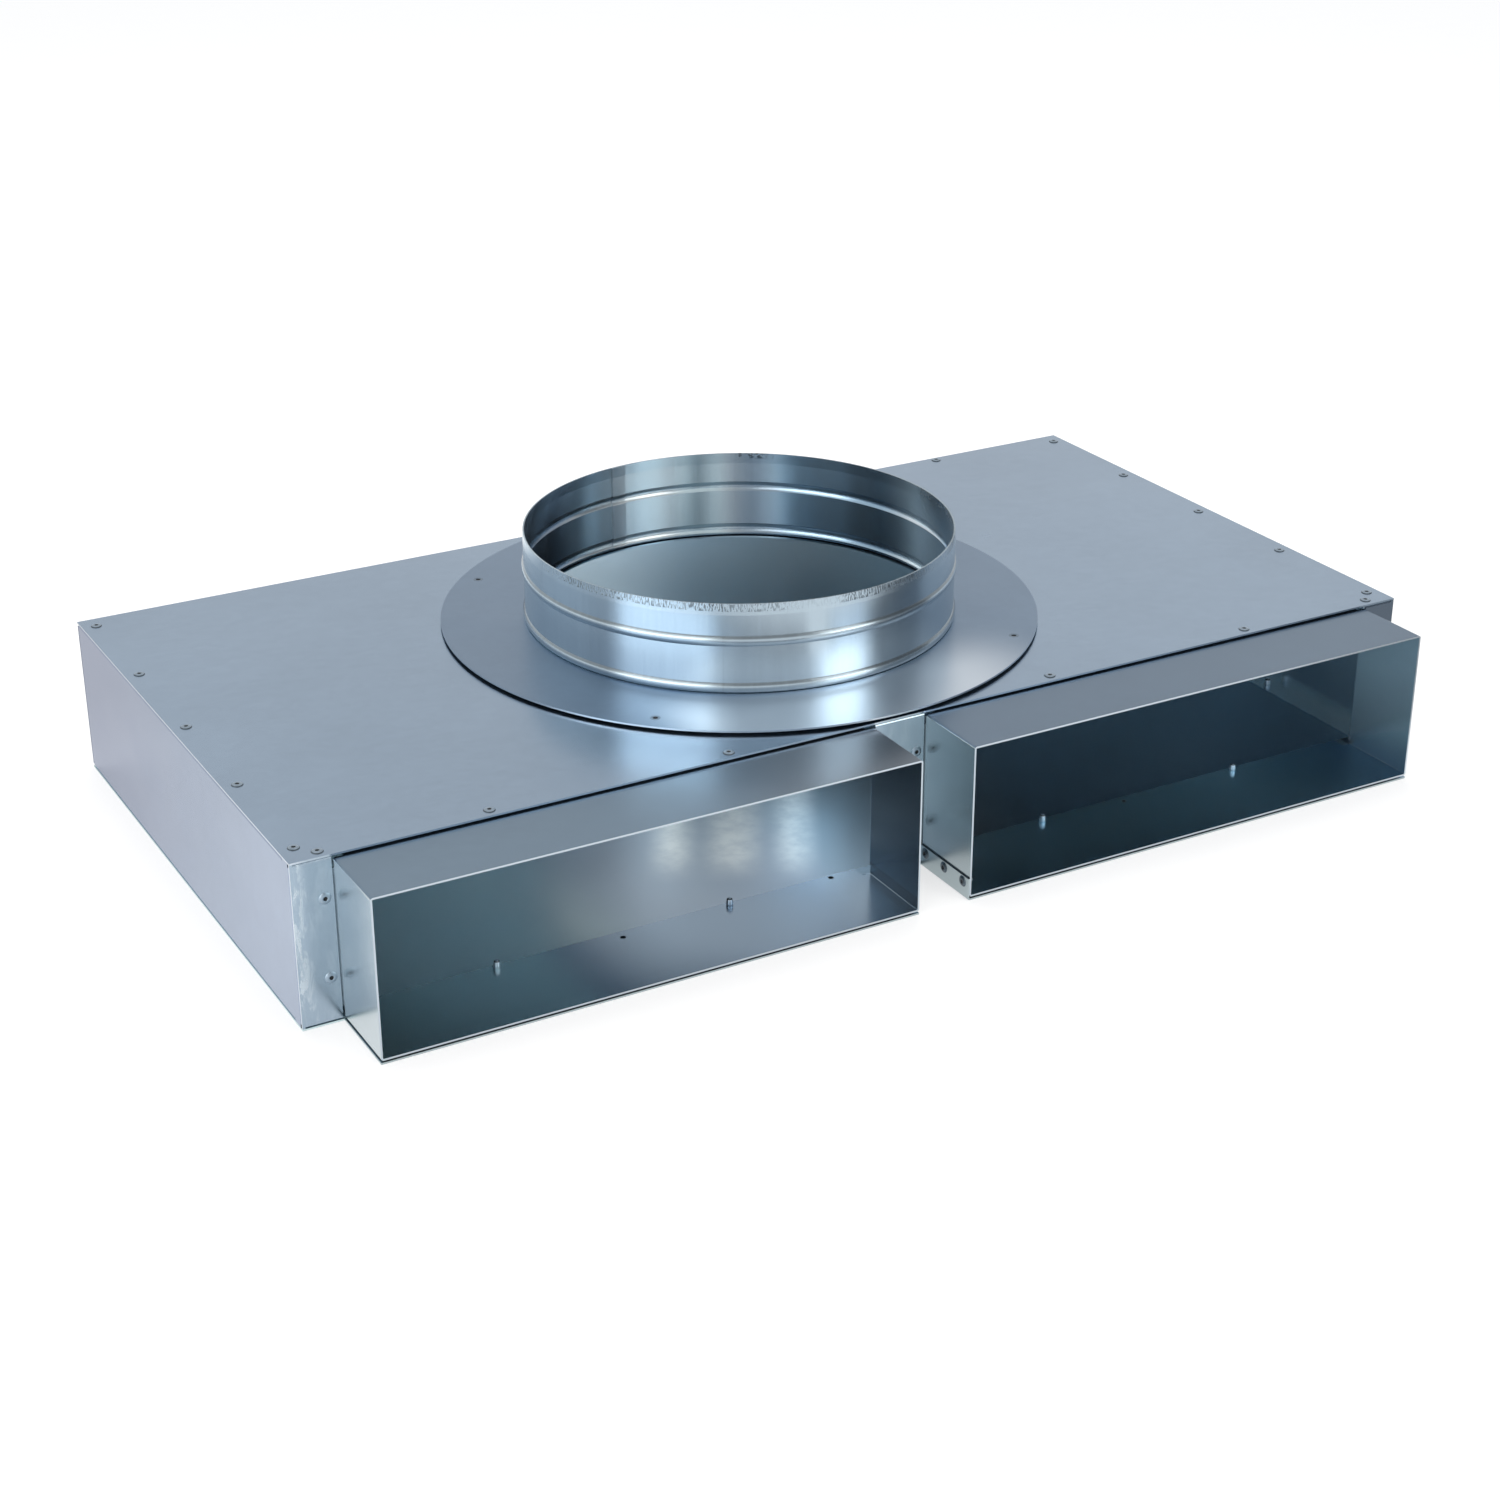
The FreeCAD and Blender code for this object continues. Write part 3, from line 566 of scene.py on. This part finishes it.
# Rivets, grime and painted shade in their pockets, and foam. A sway is its reach and its middle
SPECKLE_NOISE, SPECKLE_TONE, SPECKLE_DEPTH = (1800.0, 3.0, 0.6), (0.2, 0.5), 0.00003
MOTTLE_NOISE, MOTTLE_TONE, MOTTLE_ROUGH = (300.0, 3.0, 0.6), 0.2, (0.08, 0.38)
GRIME_SHADE_NOISE, GRIME_SHADE_ROUGH, GRIME_SHADE_DEPTH = (900.0, 3.0, 0.6), (0.125, 0.675), 0.00005
GRIME_SHADE_DARK, GRIME_SHADE_PALE = (0.004, 0.006, 0.008), (0.03, 0.036, 0.042)
FOAM_CELLS, FOAM_CLOUDS, FOAM_DEPTH = 1600.0, 60.0, 0.0002
FOAM_DARK, FOAM_PALE, FOAM_ROUGH = (0.012, 0.012, 0.014), (0.032, 0.033, 0.036), (0.85, 0.98)
FOAM_CELL_RANGE = (0.0, 0.6)


def rivet_metal(name, dark, light):
    """Dull pressed rivets with a mottled tone."""
    g = Graph(name)
    where = g.where()
    speckle = g.noise(where, *SPECKLE_NOISE)
    mottle = g.noise(where, *MOTTLE_NOISE)
    tone = g.plus(g.sway(speckle, *SPECKLE_TONE), g.sway(mottle, MOTTLE_TONE))
    g.principled(Base_Color=g.mix(tone, dark, light), Metallic=1.0,
                 Roughness=g.sway(mottle, *MOTTLE_ROUGH), Normal=g.bump(speckle, SPECKLE_DEPTH))
    return g.material


def rivet_grime_and_shade():
    """Dark grime and painted shade in the pocket of a rivet."""
    g = Graph("rivet_grime_and_shade")
    cloud = g.noise(g.where(), *GRIME_SHADE_NOISE)
    g.principled(Base_Color=g.mix(cloud, GRIME_SHADE_DARK, GRIME_SHADE_PALE),
                 Roughness=g.sway(cloud, *GRIME_SHADE_ROUGH), Normal=g.bump(cloud, GRIME_SHADE_DEPTH))
    return g.material


def foam():
    """Matt black closed-cell foam."""
    g = Graph("foam")
    where = g.where()
    cell = g.cells(where, FOAM_CELLS)["Distance"]
    cloud = g.span(g.noise(where, FOAM_CLOUDS), *NOISE_RANGE, 0.0, 1.0)
    g.principled(Base_Color=g.mix(cloud, FOAM_DARK, FOAM_PALE),
                 Roughness=g.span(cell, *FOAM_CELL_RANGE, *FOAM_ROUGH),
                 Normal=g.bump(cell, FOAM_DEPTH))
    return g.material


def wear(node, material):
    """Gives a node of the frame its finish."""
    slots = NODES[node].data.materials
    slots.clear()
    slots.append(material)


wear("lid_plate", lid_finish())
wear("base_plate", base_finish())
walls = wall_finish()
for node in ("left_side_wall", "right_side_wall", "back_wall"):
    wear(node, walls)
wear("front_frame", front_finish())
wear("flange_ring", ring_finish())
wear("left_spigot_sleeve", sleeve_finish("left_spigot_sheet", -SPIGOT_X, LEFT_SPIGOT))
wear("right_spigot_sleeve", sleeve_finish("right_spigot_sheet", SPIGOT_X, RIGHT_SPIGOT))
wear("collar_band", collar_metal())
wear("flange_seal", foam())
plain_rivet = rivet_metal("rivet_metal", (0.26, 0.33, 0.40), (0.46, 0.55, 0.64))
strip_rivet = rivet_metal("strip_rivet_metal", (0.27, 0.345, 0.42), (0.35, 0.44, 0.53))
ring_rivet = rivet_metal("ring_rivet_metal", (0.18, 0.24, 0.31), (0.27, 0.34, 0.42))
# Dark finish for the skirts: painted shade at the edge of domed heads
dark_skirt_rivet = rivet_metal("rivet_skirt", (0.04, 0.055, 0.07), (0.14, 0.175, 0.21))
seam_rivet = rivet_metal("seam_rivet_metal", (0.015, 0.02, 0.026), (0.20, 0.25, 0.29))
grime_and_shade = rivet_grime_and_shade()


# Rivets, as profiles of radius and height in millimetres, with the finish of each ring. A tail is
# set below its head by the thickness that the rivet grips
# The skirt is a dark ring, painted shade at a domed head's edge; the pocket holds grime and
# painted shade
CROWN, SKIRT, POCKET = 0, 1, 2
DOME_HEAD = ((0.0, 0.0, POCKET), (0.55, 0.0, POCKET), (0.75, -0.3, POCKET), (1.0, 0.0, POCKET),
             (1.12, 0.66, CROWN), (1.3, 0.82, CROWN), (1.9, 0.80, CROWN), (2.4, 0.62, CROWN),
             (2.75, 0.42, SKIRT), (3.05, 0.2, SKIRT), (3.2, 0.0, SKIRT), (1.6, 0.0, CROWN))
FLAT_HEAD = ((0.0, -0.35, POCKET), (0.6, -0.4, POCKET), (0.9, -0.75, POCKET),
             (1.3, -0.6, POCKET), (1.42, -0.1, CROWN), (1.52, 0.0, CROWN), (2.62, 0.0, SKIRT),
             (2.75, -0.03, CROWN), (1.6, -0.7, CROWN))
SWAGED_TAIL = ((1.6, 0.0, CROWN), (1.8, -0.4, CROWN), (1.86, -1.1, CROWN), (1.76, -2.1, CROWN),
               (1.62, -3.0, CROWN), (1.56, -3.6, SKIRT), (1.42, -3.8, POCKET),
               (1.2, -3.82, POCKET), (1.08, -3.9, SKIRT), (0.95, -4.28, CROWN),
               (0.55, -4.45, CROWN), (0.0, -4.5, CROWN))
DOME_HEIGHT = 0.9
TAIL_LENGTH = 4.5
# Vertices nearer than this to a rivet's first one belong to that rivet
RIVET_REACH = 0.009
RIVET_STEPS = 24
RIVET_TURN = 1.7
SHARP_DEGREES = 50


def clusters(node, axis):
    """The rivets of a node, each as the low and the high corner of its box."""
    found = []
    flat = [i for i in range(3) if i != axis]
    for vertex in NODES[node].data.vertices:
        co = vertex.co
        for spot in found:
            if all(abs(co[i] - spot["first"][i]) < RIVET_REACH for i in flat):
                break
        else:
            spot = {"first": co.copy(), "low": co.copy(), "high": co.copy()}
            found.append(spot)
        for i in range(3):
            spot["low"][i] = min(spot["low"][i], co[i])
            spot["high"][i] = max(spot["high"][i], co[i])
    return [(spot["low"], spot["high"]) for spot in found]


def spin(bm, profile, place):
    """Closed surface turned from (radius, height, finish) points about the local Z axis."""
    turns = [2 * math.pi * i / RIVET_STEPS for i in range(RIVET_STEPS)]
    rings = []
    for radius, height, finish in profile:
        if radius == 0.0:
            ring = [bm.verts.new(place @ Vector((0.0, 0.0, height * MM)))]
        else:
            r = radius * MM
            ring = [bm.verts.new(place @ Vector((r * math.cos(t), r * math.sin(t), height * MM)))
                    for t in turns]
        rings.append((ring, finish))
    for (upper, finish), (lower, _) in zip(rings, rings[1:]):
        for i in range(RIVET_STEPS):
            j = (i + 1) % RIVET_STEPS
            if len(upper) == 1:
                corners = (upper[0], lower[i], lower[j])
            elif len(lower) == 1:
                corners = (upper[i], lower[0], upper[j])
            else:
                corners = (upper[i], lower[i], lower[j], upper[j])
            bm.faces.new(corners).material_index = finish


def rivet_piece(node, out, sunk, crown=plain_rivet, skirt=dark_skirt_rivet):
    """Detailed rivets in place of a node's plain ones, with their heads toward out."""
    out = Vector(out)
    axis = max(range(3), key=lambda i: abs(out[i]))
    turn = Vector((0, 0, 1)).rotation_difference(out).to_matrix().to_4x4()
    head_height = 0.0 if sunk else DOME_HEIGHT
    bm = bmesh.new()
    for count, (low, high) in enumerate(clusters(node, axis)):
        head_end, tail_end = (high, low) if out[axis] > 0 else (low, high)
        seat = (low + high) / 2
        seat[axis] = head_end[axis] - out[axis] * head_height * MM
        grip = abs(head_end[axis] - tail_end[axis]) / MM - head_height - TAIL_LENGTH
        tail = tuple((r, h - grip, finish) for r, h, finish in SWAGED_TAIL)
        profile = (FLAT_HEAD if sunk else DOME_HEAD) + tail
        roll = Matrix.Rotation(RIVET_TURN * count, 4, "Z")
        spin(bm, profile, Matrix.Translation(seat) @ turn @ roll)
    bmesh.ops.recalc_face_normals(bm, faces=bm.faces)
    mesh = bpy.data.meshes.new(node + "_detail")
    bm.to_mesh(mesh)
    bm.free()
    for face in mesh.polygons:
        face.use_smooth = True
    piece = bpy.data.objects.new(node + "_detail", mesh)
    bpy.context.scene.collection.objects.link(piece)
    for finish in (crown, skirt, grime_and_shade):
        mesh.materials.append(finish)
    mesh.set_sharp_from_angle(angle=math.radians(SHARP_DEGREES))
    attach(piece, "root")
    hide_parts(node)


for node in ("lid_rivets_left", "lid_rivets_right", "lid_rivets_front", "lid_rivets_back"):
    rivet_piece(node, (0, 0, 1), False)
for node in ("base_rivets_left", "base_rivets_right", "base_rivets_front", "base_rivets_back",
             "floor_rivets"):
    rivet_piece(node, (0, 0, -1), True)
for node in ("strip_rivets_left", "strip_rivets_right", "post_rivets"):
    rivet_piece(node, (0, -1, 0), False, strip_rivet, strip_rivet)
for node in ("rear_rivets_left", "rear_rivets_right"):
    rivet_piece(node, (0, 1, 0), True)
rivet_piece("seam_rivets", (-1, 0, 0), False, seam_rivet, seam_rivet)
rivet_piece("ring_rivets", (0, 0, 1), True, ring_rivet)


# Studio
WHITE = (1.0, 1.0, 1.0, 1.0)
FLOOR_HALF = 12.0
FLOOR_NOISE = (30.0, 3.0)
FLOOR_GLOW = 0.65
# Where metal sees the floor darker, by steps along x and along y
LEFT_DIM = ((-0.36, -0.30), (-0.05, 0.30, 0.0, 0.55))
RIGHT_DARK = ((0.34, 0.40), (-0.20, -0.14))
WORLD_TINT, WORLD_STRENGTH = (0.95, 0.975, 1.0, 1.0), 0.95
WORLD_FALL = {"From Min": 0.05, "From Max": 0.35, "To Min": 1.0, "To Max": 0.70}
FLAG_BEARINGS = (308, 318, 328, 338, 348)
FLAG_RADIUS, FLAG_BOTTOM, FLAG_TOP = 1.1, 0.002, 1.0
FLAG_GREY = (0.20, 0.22, 0.24, 1.0)
LAMP_COLOUR = (1.0, 0.97, 0.92)
LAMP_AIM = Vector((0.0, 0.0, 0.1))


def studio_object(name, bm):
    """Turns the built mesh into an object of the scene."""
    mesh = bpy.data.meshes.new(name)
    bm.to_mesh(mesh)
    bm.free()
    thing = bpy.data.objects.new(name, mesh)
    bpy.context.scene.collection.objects.link(thing)
    return thing


def studio_floor():
    """Large pale floor that shows white and keeps a soft shadow. Metal sees it a little darker
    left of the box and by the box's front right corner."""
    bm = bmesh.new()
    bm.faces.new([bm.verts.new((x * FLOOR_HALF, y * FLOOR_HALF, 0.0))
                  for x, y in ((-1, -1), (1, -1), (1, 1), (-1, 1))])
    floor = studio_object("studio_floor", bm)
    g = Graph("studio_floor")
    diffuse = g.add("ShaderNodeBsdfDiffuse")
    grain = g.noise(g.where(), *FLOOR_NOISE)
    g.feed(diffuse.inputs["Color"], g.mix(grain, (0.93, 0.93, 0.94), (0.96, 0.96, 0.97)))
    glow = g.add("ShaderNodeEmission")
    glow.inputs["Color"].default_value = WHITE
    path = g.add("ShaderNodeLightPath")
    seen = g.math("MAXIMUM", path.outputs["Is Camera Ray"], path.outputs["Is Glossy Ray"])
    seen = g.math("MAXIMUM", seen, path.outputs["Is Transmission Ray"])
    blend = g.add("ShaderNodeMixShader")
    g.feed(blend.inputs[0], g.times(seen, FLOOR_GLOW))
    x, y, _ = g.split(g.where())
    dim = g.times(g.fall(x, *LEFT_DIM[X]), g.span(y, *LEFT_DIM[Y]))
    dark = g.times(g.rise(x, *RIGHT_DARK[X]), g.fall(y, *RIGHT_DARK[Y]))
    drop = g.times(g.math("ADD", dim, dark, True), path.outputs["Is Glossy Ray"])
    g.feed(glow.inputs["Strength"], g.minus(1.0, drop))
    g.links.new(diffuse.outputs[0], blend.inputs[1])
    g.links.new(glow.outputs[0], blend.inputs[2])
    g.links.new(blend.outputs[0], g.output.inputs[0])
    floor.data.materials.append(g.material)


def studio_world():
    """Even light all round: white where it is seen, greyer high up where metal mirrors it."""
    world = bpy.data.worlds.new("studio_world")
    bpy.context.scene.world = world
    world.use_nodes = True
    nodes, links = world.node_tree.nodes, world.node_tree.links
    nodes.clear()

    def larger(a, b):
        node = nodes.new("ShaderNodeMath")
        node.operation = "MAXIMUM"
        links.new(a, node.inputs[0])
        links.new(b, node.inputs[1])
        return node.outputs[0]

    path = nodes.new("ShaderNodeLightPath")
    clear = larger(path.outputs["Is Camera Ray"], path.outputs["Is Transmission Ray"])
    seen = larger(clear, path.outputs["Is Glossy Ray"])
    split = nodes.new("ShaderNodeSeparateXYZ")
    links.new(nodes.new("ShaderNodeTexCoord").outputs["Generated"], split.inputs[0])
    fall = nodes.new("ShaderNodeMapRange")
    fall.interpolation_type = "SMOOTHSTEP"
    links.new(split.outputs[Z], fall.inputs["Value"])
    for key, number in WORLD_FALL.items():
        fall.inputs[key].default_value = number
    even = nodes.new("ShaderNodeBackground")
    even.inputs["Color"].default_value = WORLD_TINT
    even.inputs["Strength"].default_value = WORLD_STRENGTH
    white = nodes.new("ShaderNodeBackground")
    white.inputs["Color"].default_value = WHITE
    links.new(larger(clear, fall.outputs[0]), white.inputs["Strength"])
    blend = nodes.new("ShaderNodeMixShader")
    links.new(seen, blend.inputs[0])
    links.new(even.outputs[0], blend.inputs[1])
    links.new(white.outputs[0], blend.inputs[2])
    links.new(blend.outputs[0], nodes.new("ShaderNodeOutputWorld").inputs[0])


def studio_flag():
    """Grey card at the right that only the metal mirrors."""
    bm = bmesh.new()
    rows = []
    for height in (FLAG_BOTTOM, FLAG_TOP):
        rows.append([bm.verts.new((FLAG_RADIUS * math.cos(t), FLAG_RADIUS * math.sin(t), height))
                     for t in radians(FLAG_BEARINGS)])
    low, high = rows
    for i in range(len(FLAG_BEARINGS) - 1):
        bm.faces.new((low[i], low[i + 1], high[i + 1], high[i]))
    flag = studio_object("studio_flag", bm)
    g = Graph("studio_flag")
    glow = g.add("ShaderNodeEmission")
    glow.inputs["Color"].default_value = FLAG_GREY
    g.links.new(glow.outputs[0], g.output.inputs[0])
    flag.data.materials.append(g.material)
    flag.visible_camera = False
    flag.visible_diffuse = False
    flag.visible_shadow = False
    flag.visible_transmission = False


def softbox(name, bearing, distance, height, size, power):
    """Area lamp at this bearing about the object, turned to face it."""
    data = bpy.data.lights.new(name, "AREA")
    data.shape = "RECTANGLE"
    data.size, data.size_y = size
    data.energy = power
    data.color = LAMP_COLOUR
    lamp = bpy.data.objects.new(name, data)
    bpy.context.scene.collection.objects.link(lamp)
    t = math.radians(bearing)
    lamp.location = (distance * math.cos(t), distance * math.sin(t), height)
    lamp.rotation_euler = (LAMP_AIM - lamp.location).to_track_quat("-Z", "Y").to_euler()
    return lamp


# The photograph's view, found by fitting the box, the spigots and the rim. Lengths are in metres,
# angles in degrees, the focal length in pixels of the 1500 wide frame
FOCAL, FRAME_WIDTH, SENSOR = 2671.256, 1500.0, 36.0
AZIMUTH, ELEVATION, ROLL = -29.2633, 25.1842, 0.0950
DISTANCE, TARGET = 1.46932, Vector((-0.0560185, -0.0854143, 0.060))
NEAR_CLIP = 0.05


def place_camera():
    a, e, r = radians((AZIMUTH, ELEVATION, ROLL))
    back = Vector((math.sin(a) * math.cos(e), -math.cos(a) * math.cos(e), math.sin(e)))
    right = Vector((math.cos(a), math.sin(a), 0.0))
    up = back.cross(right)
    turned_right = right * math.cos(r) - up * math.sin(r)
    turned_up = right * math.sin(r) + up * math.cos(r)
    data = bpy.data.cameras.new("camera")
    data.sensor_width = SENSOR
    data.lens = FOCAL * SENSOR / FRAME_WIDTH
    data.clip_start = NEAR_CLIP
    camera = bpy.data.objects.new("camera", data)
    bpy.context.scene.collection.objects.link(camera)
    matrix = Matrix((turned_right, turned_up, back)).transposed().to_4x4()
    matrix.translation = TARGET + back * DISTANCE
    camera.matrix_world = matrix
    bpy.context.scene.camera = camera


studio_floor()
studio_world()
studio_flag()
softbox("front_left_box", bearing=202.0, distance=1.7, height=0.75, size=(1.6, 1.3), power=16.2)
softbox("front_right_box", bearing=299.0, distance=1.7, height=0.75, size=(0.95, 1.3),
        power=10.5)
overhead = softbox("overhead_box", bearing=70.0, distance=0.5, height=1.9, size=(1.2, 1.2),
                   power=24.0)
overhead.visible_glossy = False
place_camera()
bpy.context.scene.view_settings.view_transform = "Standard"
